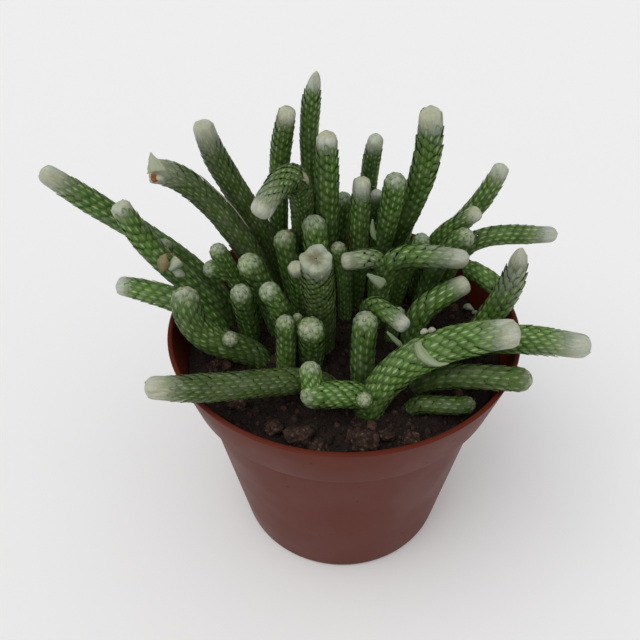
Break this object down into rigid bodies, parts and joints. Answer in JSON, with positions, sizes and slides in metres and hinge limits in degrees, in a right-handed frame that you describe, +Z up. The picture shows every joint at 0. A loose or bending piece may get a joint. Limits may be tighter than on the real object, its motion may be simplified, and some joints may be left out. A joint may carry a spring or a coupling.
{
  "type": "potted avonia papyracea",
  "caption": "Small succulent of upright and sprawling scaly stems with papery white tips, in a tapered plastic nursery pot filled with dark lumpy soil.",
  "frame": {"origin": "centre of the pot's base, on the surface that it stands on", "axes": "+Z up along the pot's axis, +X to the right and +Y to the back as the picture shows the plant"},
  "size_m": [0.1243, 0.0874, 0.119],
  "materials": {
    "pot": "satin brown-red moulded plastic",
    "soil": "dark damp lumpy potting mix",
    "stem": "green stems covered by small scales with pale papery edges and white tips"
  },
  "bodies": {
    "root": {"pot": "pot", "soil": "soil", "stem_01": "stem", "stem_02": "stem", "stem_03": "stem", "stem_04": "stem", "stem_05": "stem", "stem_06": "stem", "stem_07": "stem", "stem_08": "stem", "stem_09": "stem", "stem_10": "stem", "stem_11": "stem", "stem_12": "stem", "stem_13": "stem", "stem_14": "stem", "stem_15": "stem", "stem_16": "stem", "stem_17": "stem", "stem_18": "stem", "stem_19": "stem", "stem_20": "stem", "stem_21": "stem", "stem_22": "stem", "stem_23": "stem", "stem_24": "stem", "stem_25": "stem", "stem_26": "stem", "stem_27": "stem", "stem_28": "stem", "stem_29": "stem", "stem_30": "stem", "stem_31": "stem", "stem_32": "stem", "stem_33": "stem", "stem_34": "stem", "stem_35": "stem", "stem_36": "stem", "stem_37": "stem", "stem_38": "stem", "stem_39": "stem", "stem_40": "stem", "stem_41": "stem", "stem_42": "stem", "stem_43": "stem", "stem_44": "stem", "stem_45": "stem", "stem_46": "stem"}
  },
  "joints": []
}
